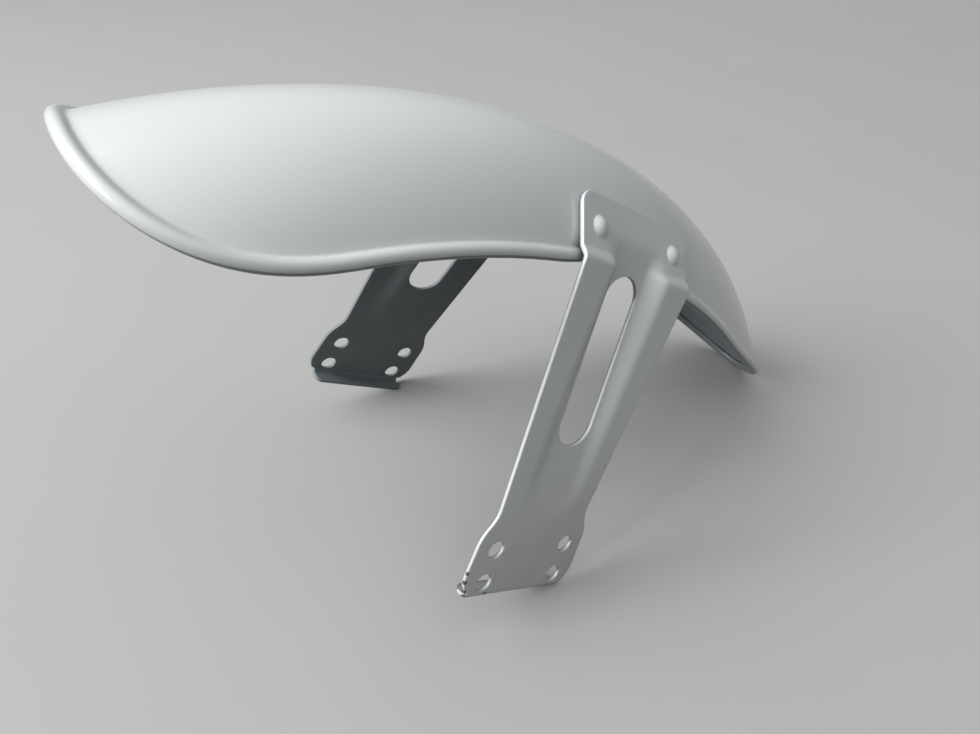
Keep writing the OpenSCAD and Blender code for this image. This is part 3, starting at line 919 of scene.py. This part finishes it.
def walled(profile, flat, faces, painted, lip):
    """The pressed sheet with its thickness, small round edges and two coats of paint.

    painted holds the rows of the edge that are white, below and above the roll. lip is the
    height over the foot's lowest point up to which the wheel's side is white.
    """
    middle, normal = pressed(profile, flat), sheet_normals(profile, flat)
    rim = open_edges(faces)
    away = off_the_rim(middle, normal, rim)
    half, count = profile.layout.s.sheet / 2, len(flat)
    # Each rim point is drawn in a little on both faces, and stands full between them
    layers = [middle + normal * half - away * RIM_ROUND,
              middle - normal * half - away * RIM_ROUND]
    on_rim = sorted({a for edge in rim for a in edge})
    index = {a: i for i, a in enumerate(on_rim)}
    for turn in np.linspace(0, math.pi, RIM_ROWS + 1)[1:-1]:
        up, out = math.cos(turn), math.sin(turn)
        level = math.copysign(half - RIM_ROUND, up) + RIM_ROUND * up if abs(up) > TINY else 0.0
        layers.append(middle[on_rim] + normal[on_rim] * level
                      + away[on_rim] * RIM_ROUND * (out - 1))

    def row(a, k):
        if k == 0:
            return int(a)
        if k == RIM_ROWS:
            return int(a) + count
        return 2 * count + (k - 1) * len(on_rim) + index[a]

    polygons = [tuple(map(int, face)) for face in faces]
    polygons += [tuple(corner + count for corner in reversed(face)) for face in polygons]
    reach = middle[:, 2].min() + lip
    coats = [WHITE] * len(faces)
    coats += [WHITE if middle[face, 2].max() < reach else UNDER for face in faces]
    for a, b in rim:
        white = painted[1] if middle[a, 2] > profile.layout.b.edge_height else painted[0]
        for k in range(RIM_ROWS):
            polygons.append((row(b, k), row(a, k), row(a, k + 1), row(b, k + 1)))
            coats.append(WHITE if k < white else UNDER)
    mesh = bpy.data.meshes.new("stay")
    mesh.from_pydata(np.concatenate(layers).tolist(), [], polygons)
    mesh.polygons.foreach_set("material_index", coats)
    mesh.update()
    return mesh


def build_stay(settings, side, name, node, painted, lip):
    mesh = stay_mesh(Layout(settings), painted, lip)
    if side < 0:
        mesh.transform(Matrix.Diagonal((1, -1, 1, 1)))
        mesh.flip_normals()
    mesh.transform(standing(settings))
    obj = new_object(name, mesh)
    mesh.materials.append(paint_material(settings))
    mesh.materials.append(under_material(settings))
    smooth(kept_in(mesh), STAY_SMOOTH)
    hand_over(obj, [node])


# The rivets


DOME_SHARE = 0.94  # of the dome's sweep, before the paint takes over its edge
DOME_STEPS = 12
TURN_STEPS = 48
# Reach of the paint's fillet round a head, its height at that reach and how deep it ends
FILLET_REACH = 0.35 * MM
FILLET_RISE = 0.03 * MM
FILLET_SINK = 0.04 * MM
# The tail's round end: how far in and how far down, in heights of the tail
TAIL_ROUND = ((0.0, 0.0), (0.15, 0.5), (0.5, 0.9))


def rivet_mesh(settings):
    """One rivet, turned about Z, with its head's flat side at Z = 0."""
    r, s, b = settings.rivet, settings.stay, settings.blade
    ball = (r.head_d ** 2 / 4 + r.head_h ** 2) / (2 * r.head_h)
    lowest = math.asin(min(1.0, r.head_d / 2 / ball))
    line = [(ball * math.sin(t), r.head_h - ball * (1 - math.cos(t)))
            for t in np.linspace(0, lowest * DOME_SHARE, DOME_STEPS)]
    edge, rise = line[-1]
    line += [(edge + FILLET_REACH * 0.35, rise * 0.45), (edge + FILLET_REACH, FILLET_RISE),
             (edge + FILLET_REACH * 1.6, -FILLET_SINK)]
    grip = s.sheet + s.tab_gap + b.sheet + r.tail_fall + r.tail_gap
    line += [(r.shank_d / 2, -FILLET_SINK), (r.shank_d / 2, -grip)]
    line += [(r.tail_d / 2 - r.tail_h * inset, -grip - r.tail_h * drop)
             for inset, drop in TAIL_ROUND]
    line.append((0, -grip - r.tail_h))
    bm = bmesh.new()
    rings = []
    for radius, height in line:
        turns = [2 * math.pi * i / TURN_STEPS for i in range(TURN_STEPS if radius else 1)]
        rings.append([bm.verts.new((radius * math.cos(t), radius * math.sin(t), height))
                      for t in turns])
    for upper, lower in zip(rings, rings[1:]):
        for i in range(TURN_STEPS):
            j = (i + 1) % TURN_STEPS
            corners = [upper[i % len(upper)], lower[i % len(lower)], lower[j % len(lower)],
                       upper[j % len(upper)]]
            # A ring of one point gives the same corner twice
            bm.faces.new(list(dict.fromkeys(corners)))
    bmesh.ops.recalc_face_normals(bm, faces=bm.faces)
    mesh = bpy.data.meshes.new("rivet")
    bm.to_mesh(mesh)
    bm.free()
    return mesh


def rivet_tree():
    """A rivet at each of the four places, square to its tab."""
    tree, w = new_tree("Rivets", "GeometryNodeTree",
                       numbers("Spread", "Out", "Height", "Lean")
                       + [("Rivet", "NodeSocketObject"), ("Material", "NodeSocketMaterial")],
                       [("Geometry", GEOMETRY)])
    grid = geometry_step(tree, "GeometryNodeMeshGrid", Size_X=2.0, Size_Y=2.0, Vertices_X=2,
                         Vertices_Y=2)
    x, y, _ = split(geometry_step(tree, "GeometryNodeInputPosition"))
    # The turn is kept on the points, because it depends on their side before they move
    keep = tree.nodes.new("GeometryNodeCaptureAttribute")
    keep.capture_items.new("VECTOR", "Turn")
    feed(tree, keep.inputs["Geometry"], grid)
    feed(tree, keep.inputs["Turn"], joined(tree, y * (w["Lean"] - math.pi / 2), 0.0, 0.0))
    spots = geometry_step(tree, "GeometryNodeMeshToPoints",
                          Mesh=Wire(tree, keep.outputs["Geometry"]),
                          Position=joined(tree, x * w["Spread"], y * w["Out"], w["Height"]))
    turn = geometry_step(tree, "FunctionNodeEulerToRotation",
                         Euler=Wire(tree, keep.outputs["Turn"]))
    info = tree.nodes.new("GeometryNodeObjectInfo")
    feed(tree, info.inputs["Object"], w["Rivet"])
    copies = geometry_step(tree, "GeometryNodeInstanceOnPoints", Points=spots, Rotation=turn,
                           Instance=Wire(tree, info.outputs["Geometry"]))
    finish_tree(tree, copies, w["Material"])
    return tree


def build_rivets(settings):
    rivet, lean = settings.rivet, settings.blade.pad_lean
    on_tab = Layout(settings).tab_point(rivet.up) + outward(lean) * settings.stay.sheet / 2
    one = new_object("rivet_seed", rivet_mesh(settings))
    mesh = grown("rivet_heads", rivet_tree(), {
        "Spread": rivet.spread, "Out": float(on_tab[0]), "Height": float(on_tab[1]),
        "Lean": lean, "Rivet": one, "Material": paint_material(settings)})
    bpy.data.objects.remove(one)
    mesh.transform(standing(settings))
    smooth(kept_in(mesh), RIVET_SMOOTH)
    obj = new_object("rivet_heads", mesh)
    hand_over(obj, [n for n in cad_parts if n.endswith("rivet")])


# Finishes


def noise(tree, vector, size, detail=2.0, rough=0.5):
    """Plain noise with features of a given size."""
    node = tree.nodes.new("ShaderNodeTexNoise")
    feed(tree, node.inputs["Vector"], vector)
    feed(tree, node.inputs["Scale"], 1.0 / size)
    node.inputs["Detail"].default_value = detail
    node.inputs["Roughness"].default_value = rough
    return Wire(tree, node.outputs["Fac"])


def mixed(tree, factor, first, second):
    """One colour turned into another by a factor."""
    node = tree.nodes.new("ShaderNodeMix")
    node.data_type = "RGBA"
    feed(tree, node.inputs["Factor"], factor)
    for socket, colour in (("A", first), ("B", second)):
        feed(tree, node.inputs[socket], colour if isinstance(colour, Wire) else (*colour, 1.0))
    return Wire(tree, node.outputs["Result"])


def toned(colour, level):
    return [part * level for part in colour]


def shared(name, make):
    """A node group that is built once and then used again."""
    return bpy.data.node_groups.get(name) or make(name)


PEEL_COARSER = 6.0
PEEL_FINE = 0.4
# How far a chip reaches at the middle of its noise, and how hard its edge is cut
CHIP_LEVEL = 0.42
CHIP_CUT = 9.0
SPRAY_SIDE = 10 * MM
MIST_SIZE = 2.0 * MM
MIST_SHARE = 0.12


def peel_group(name):
    """The faint orange peel of sprayed paint, as a height."""
    tree, w = new_tree(name, "ShaderNodeTree", [("Vector", VECTOR), ("Size", NUMBER)],
                       numbers("Height"))
    coarse = noise(tree, w["Vector"], w["Size"] * PEEL_COARSER, 1.0)
    fine = noise(tree, w["Vector"], w["Size"], 2.0)
    put_out(tree, {"Height": fine * PEEL_FINE + coarse * (1 - PEEL_FINE)})
    return tree


def chip_group(name):
    """Paint chipped off round one place: 1 where it is gone."""
    tree, w = new_tree(name, "ShaderNodeTree",
                       [("Vector", VECTOR), ("Centre", VECTOR), *numbers("Reach", "Size")],
                       numbers("Mask"))
    away = measured(tree, "LENGTH", arrows(tree, "SUBTRACT", w["Vector"], w["Centre"]))
    rough = noise(tree, w["Vector"], w["Size"], 4.0, 0.7)
    put_out(tree, {"Mask": eased((rough + CHIP_LEVEL - away / w["Reach"]) * CHIP_CUT)})
    return tree


def spray_and_shade_group(name):
    """Where spray from outside doesn't land, on faces turned to the wheel, with a misty edge;
    widened into painted shade under the roll and on the far roll's inner side.
    """
    tree, w = new_tree(name, "ShaderNodeTree",
                       [("Vector", VECTOR), ("Normal", VECTOR), ("Axle", VECTOR),
                        *numbers("Start", "Width")], numbers("Mask"))
    out = arrows(tree, "MULTIPLY", arrows(tree, "SUBTRACT", w["Vector"], w["Axle"]), (1, 0, 1))
    lifted = measured(tree, "DOT_PRODUCT", w["Normal"], arrows(tree, "NORMALIZE", out))
    # Painted shade: faces turned towards the middle of the blade, like the far roll's inner side,
    # take the undercoat where the blade's shade falls
    beside = split(w["Vector"])[1] / SPRAY_SIDE
    beside = maths(tree, "MINIMUM", maths(tree, "MAXIMUM", beside, -1.0), 1.0)
    inward = maths(tree, "MAXIMUM", 0.0 - lifted, 0.0 - split(w["Normal"])[1] * beside)
    mist = noise(tree, w["Vector"], MIST_SIZE, 3.0, 0.6) - 0.5
    put_out(tree, {"Mask": eased((inward + mist * MIST_SHARE - w["Start"]) / w["Width"])})
    return tree


def new_material(name):
    """An empty material, its Principled shader and its Object coordinates."""
    material = bpy.data.materials.new(name)
    material.use_nodes = True
    tree = material.node_tree
    tree.nodes.clear()
    out = tree.nodes.new("ShaderNodeOutputMaterial")
    shader = tree.nodes.new("ShaderNodeBsdfPrincipled")
    tree.links.new(shader.outputs[0], out.inputs[0])
    where = tree.nodes.new("ShaderNodeTexCoord")
    return material, tree, shader, Wire(tree, where.outputs["Object"])


def peeled(tree, shader, where, size, strength, depth):
    """Gives a finish orange peel of a size and a depth."""
    peel = place_group(tree, shared("Orange peel", peel_group), vector=where, size=size)
    bump = tree.nodes.new("ShaderNodeBump")
    bump.inputs["Strength"].default_value = strength
    bump.inputs["Distance"].default_value = depth
    feed(tree, bump.inputs["Height"], peel["Height"])
    tree.links.new(bump.outputs[0], shader.inputs["Normal"])


# Chips at the near foot: where, and how many millimetres they reach
CHIPS = (((-0.0906, -0.0880, 0.0290), 2.6), ((-0.0905, -0.0875, 0.0345), 1.5),
         ((-0.0899, -0.0870, 0.0395), 1.3), ((-0.0884, -0.0863, 0.0437), 1.1),
         ((-0.0800, -0.0885, 0.0262), 1.3))
CHIP_GRAIN = 1.1 * MM
# The mask starts early and reaches wide, so the undercoat also lays painted shade along the roll's
# underside
SPRAY_AND_SHADE_START = 0.12
SPRAY_AND_SHADE_WIDTH = 0.22
TONE_SIZE = 55 * MM
TONE_LEVEL = 0.975
# The painted shade low on the stays: its top, the height over which it fades in, its patches and
# how thick it is
LOW_SHADE_TOP = 85 * MM
LOW_SHADE_FADE = 70 * MM
LOW_SHADE_PATCH = 14 * MM
LOW_SHADE_SWING = 0.4
LOW_SHADE_LEAST = 0.35
# What tone, thin spray and chips add to the gloss paint's roughness
TONE_ROUGH = 0.04
SPRAY_ROUGH = 0.15
CHIP_ROUGH = 0.3
COAT = 0.25
COAT_ROUGH = 0.08


def paint_material(settings):
    """Gloss white paint with chips, painted shade low on the stays, and undercoat where it faces
    the wheel, widened into painted shade.
    """
    known = bpy.data.materials.get("gloss_white_paint")
    if known:
        return known
    look, blade = settings.paint, settings.blade
    material, tree, shader, where = new_material("gloss_white_paint")
    peeled(tree, shader, where, 0.9 * MM, 0.12, 0.05 * MM)
    face = Wire(tree, tree.nodes.new("ShaderNodeNewGeometry").outputs["Normal"])
    axle = standing(settings) @ Vector((0, 0, blade.edge_height - blade.edge_radius))
    spray_and_shade = place_group(tree, shared("Thin spray and shade", spray_and_shade_group), vector=where, normal=face,
                        axle=tuple(axle), start=SPRAY_AND_SHADE_START, width=SPRAY_AND_SHADE_WIDTH)["Mask"]
    chips = 0.0
    for centre, reach in CHIPS:
        mask = place_group(tree, shared("Paint chips", chip_group), vector=where,
                           centre=centre, reach=reach * MM, size=CHIP_GRAIN)["Mask"]
        chips = maths(tree, "MAXIMUM", chips, mask)
    tone = noise(tree, where, TONE_SIZE, 2.0) - 0.5
    white = mixed(tree, bounded(tone * 0.5 + 0.5), look.white, toned(look.white, TONE_LEVEL))
    # Painted shade: the stays turn darker and warmer towards the feet, in patches, where they
    # stand in shade
    low = eased((LOW_SHADE_TOP - split(where)[2]) / LOW_SHADE_FADE)
    low_shade_film = low * (noise(tree, where, LOW_SHADE_PATCH, 4.0, 0.6) * LOW_SHADE_SWING + LOW_SHADE_LEAST)
    low_shaded = mixed(tree, bounded(low_shade_film), white, look.low_shade)
    coated = mixed(tree, spray_and_shade, low_shaded, look.under)
    feed(tree, shader.inputs["Base Color"], mixed(tree, chips, coated, look.bare))
    feed(tree, shader.inputs["Roughness"],
         look.gloss + tone * TONE_ROUGH + spray_and_shade * SPRAY_ROUGH + chips * CHIP_ROUGH)
    shader.inputs["Coat Weight"].default_value = COAT
    shader.inputs["Coat Roughness"].default_value = COAT_ROUGH
    return material


# The undercoat's worn patches and its pale specks: size, where they start and how they are cut
WORN_SIZE = 18 * MM
WORN_START = 0.45
WORN_CUT = 1.6
WORN_LEVEL = 1.3
WORN_ROUGH = 0.08
SPECK_SIZE = 0.8 * MM
SPECK_START = 0.63
SPECK_CUT = 9.0
SPECK_SHARE = 0.25


def under_material(settings):
    """The satin slate undercoat that the wheel's side keeps."""
    known = bpy.data.materials.get("slate_undercoat")
    if known:
        return known
    look = settings.paint
    material, tree, shader, where = new_material("slate_undercoat")
    peeled(tree, shader, where, 0.7 * MM, 0.2, 0.06 * MM)
    worn = bounded((noise(tree, where, WORN_SIZE, 4.0, 0.6) - WORN_START) * WORN_CUT)
    speck = noise(tree, where, SPECK_SIZE, 2.0, 0.7)
    base = mixed(tree, worn, look.under, toned(look.under, WORN_LEVEL))
    specks = eased((speck - SPECK_START) * SPECK_CUT) * SPECK_SHARE
    feed(tree, shader.inputs["Base Color"], mixed(tree, specks, base, look.white))
    feed(tree, shader.inputs["Roughness"], look.satin + worn * WORN_ROUGH)
    return material


MOTTLE_SIZE = 220 * MM
MOTTLE_START = 0.35
MOTTLE_CUT = 2.0
MOTTLE_LEVEL = 0.96
FLOOR_ROUGH = 0.7


def floor_material(settings):
    """A plain pale floor, very slightly mottled, that a camera under it looks through."""
    material, tree, shader, where = new_material("pale_floor")
    stage = settings.stage
    mottle = bounded((noise(tree, where, MOTTLE_SIZE, 3.0) - MOTTLE_START) * MOTTLE_CUT)
    pale = mixed(tree, mottle, stage.floor, toned(stage.floor, MOTTLE_LEVEL))
    feed(tree, shader.inputs["Base Color"], mixed(tree, seen_rays(tree), stage.bounce, pale))
    shader.inputs["Roughness"].default_value = FLOOR_ROUGH
    clear = tree.nodes.new("ShaderNodeBsdfTransparent")
    choice = tree.nodes.new("ShaderNodeMixShader")
    below = Wire(tree, tree.nodes.new("ShaderNodeNewGeometry").outputs["Backfacing"])
    feed(tree, choice.inputs[0], ray(tree, "Is Camera Ray") * below)
    tree.links.new(shader.outputs[0], choice.inputs[1])
    tree.links.new(clear.outputs[0], choice.inputs[2])
    tree.links.new(choice.outputs[0], tree.nodes["Material Output"].inputs[0])
    return material


# The stage


# The camera, as solved beside the part when it is upright on the fork
FOCAL_PX = 712.19
PHOTO_WIDTH = 980
CAMERA_PLACE = (-0.2468836, -0.2340851, 0.1766457)
CAMERA_RIGHT = (0.71255574, -0.53302968, 0.45622766)
CAMERA_DOWN = (0.10845002, -0.55876194, -0.82220659)
CAMERA_AHEAD = (0.69318318, 0.63534593, -0.34034195)
SENSOR_WIDTH = 36.0
CLIP_START = 10 * MM
LOW_WINDOW = (-0.83, 0.14, 0.54)
WINDOW_SPREAD = math.radians(35)
SOFTBOX_PLACE = (-0.75, 0.5, 1.05)
SOFTBOX_AIM = (0, 0, 0.08)
SOFTBOX_SIDE = 0.9
# The side that the tent's light comes from, where it starts, and its colours low and high
TENT_SIDE = (-0.4, -0.12, 0.91)
TENT_START = 0.3
TENT_LOW = (0.93, 0.95, 0.93)
TENT_HIGH = (0.97, 0.99, 1.0)
FLOOR_HALF = 3.0


def build_camera(settings):
    data = bpy.data.cameras.new("photo_camera")
    data.sensor_fit = "HORIZONTAL"
    data.sensor_width = SENSOR_WIDTH
    data.lens = FOCAL_PX / PHOTO_WIDTH * SENSOR_WIDTH
    data.clip_start = CLIP_START
    camera = new_object("photo_camera", data)
    axes = Matrix((CAMERA_RIGHT, toned(CAMERA_DOWN, -1), toned(CAMERA_AHEAD, -1))).transposed()
    camera.matrix_world = standing(settings) @ (Matrix.Translation(CAMERA_PLACE) @ axes.to_4x4())
    bpy.context.scene.camera = camera


def lamp(name, kind, strength, side):
    """A lamp that shines from a side; gives its data and its object."""
    data = bpy.data.lights.new(name, kind)
    data.energy = strength
    obj = new_object(name, data)
    obj.rotation_euler = Vector(side).to_track_quat("Z", "Y").to_euler()
    return data, obj


def ray(tree, kind):
    return Wire(tree, tree.nodes.new("ShaderNodeLightPath").outputs[kind])


def seen_rays(tree):
    """1 for the rays that show a surface to the camera, also in a gloss or through glass."""
    seen = ray(tree, "Is Camera Ray")
    for kind in ("Is Glossy Ray", "Is Transmission Ray"):
        seen = maths(tree, "MAXIMUM", seen, ray(tree, kind))
    return seen


def tent(stage):
    """Light like a white tent's: brightest overhead and to the left, and fading smoothly."""
    world = bpy.data.worlds.new("light_tent")
    world.use_nodes = True
    tree = world.node_tree
    ground = tree.nodes["Background"]
    way = Wire(tree, tree.nodes.new("ShaderNodeTexCoord").outputs["Generated"])
    lit = measured(tree, "DOT_PRODUCT", way, TENT_SIDE)
    share = eased((lit - TENT_START) / (1 - TENT_START))
    feed(tree, ground.inputs["Color"], mixed(tree, share, TENT_LOW, TENT_HIGH))
    light = share * stage.glow + stage.ambient
    lifted = maths(tree, "MAXIMUM", light, seen_rays(tree) * stage.backdrop)
    direct = ray(tree, "Is Camera Ray")
    feed(tree, ground.inputs["Strength"], lifted * (1.0 - direct) + direct * stage.backdrop)
    return world


def build_stage(settings):
    stage, scene = settings.stage, bpy.context.scene
    mesh = bpy.data.meshes.new("floor")
    mesh.from_pydata([(x * FLOOR_HALF, y * FLOOR_HALF, 0)
                      for x, y in ((-1, -1), (1, -1), (1, 1), (-1, 1))], [], [(0, 1, 2, 3)])
    mesh.update()
    mesh.materials.append(floor_material(settings))
    floor = new_object("floor", mesh)
    # A wide sun lights evenly from one side and leaves no bright patch on the floor
    window, _ = lamp("low_window", "SUN", stage.low_light, LOW_WINDOW)
    window.angle = WINDOW_SPREAD
    softbox, holder = lamp("high_softbox", "AREA", stage.top_light,
                           Vector(SOFTBOX_PLACE) - Vector(SOFTBOX_AIM))
    softbox.size = SOFTBOX_SIDE
    holder.location = SOFTBOX_PLACE
    scene.world = tent(stage)
    scene.view_settings.view_transform = "Standard"
    build_camera(settings)


# Operators, panel and registration


class MakeBlade(bpy.types.Operator):
    """Build the blade with its rolled edge and pressed pads"""
    bl_idname = "mudguard.blade"
    bl_label = "Blade"

    def execute(self, context):
        build_blade(context.scene.mudguard)
        return {"FINISHED"}


class MakeStays(bpy.types.Operator):
    """Build the two pressed stays"""
    bl_idname = "mudguard.stays"
    bl_label = "Stays"

    def execute(self, context):
        # The near stay is painted as lit and the far stay as shaded
        build_stay(context.scene.mudguard, -1, "near_stay", "left_stay", *NEAR_WHITE_LIT)
        build_stay(context.scene.mudguard, 1, "far_stay", "right_stay", *FAR_WHITE_SHADED)
        return {"FINISHED"}


class MakeRivets(bpy.types.Operator):
    """Build the four rivets"""
    bl_idname = "mudguard.rivets"
    bl_label = "Rivets"

    def execute(self, context):
        build_rivets(context.scene.mudguard)
        return {"FINISHED"}


class MakeStage(bpy.types.Operator):
    """Build the floor, the lights and the camera"""
    bl_idname = "mudguard.stage"
    bl_label = "Stage"

    def execute(self, context):
        build_stage(context.scene.mudguard)
        return {"FINISHED"}


class MudguardPanel(bpy.types.Panel):
    """Lists the steps that build the mudguard"""
    bl_idname = "VIEW3D_PT_mudguard"
    bl_label = "Mudguard"
    bl_space_type = "VIEW_3D"
    bl_region_type = "UI"
    bl_category = "Mudguard"

    def draw(self, context):
        for step in STEPS:
            self.layout.operator(step.bl_idname)


STEPS = (MakeBlade, MakeStays, MakeRivets, MakeStage)
CLASSES = (BladeSizes, StaySizes, RivetSizes, StandSizes, PaintLook, StageLook,
           MudguardSettings) + STEPS + (MudguardPanel,)


def register():
    for item in CLASSES:
        bpy.utils.register_class(item)
    bpy.types.Scene.mudguard = PointerProperty(type=MudguardSettings)


def unregister():
    del bpy.types.Scene.mudguard
    for item in reversed(CLASSES):
        bpy.utils.unregister_class(item)


def main():
    register()
    for step in STEPS:
        area, name = step.bl_idname.split(".")
        getattr(getattr(bpy.ops, area), name)()


if __name__ == "__main__":
    main()
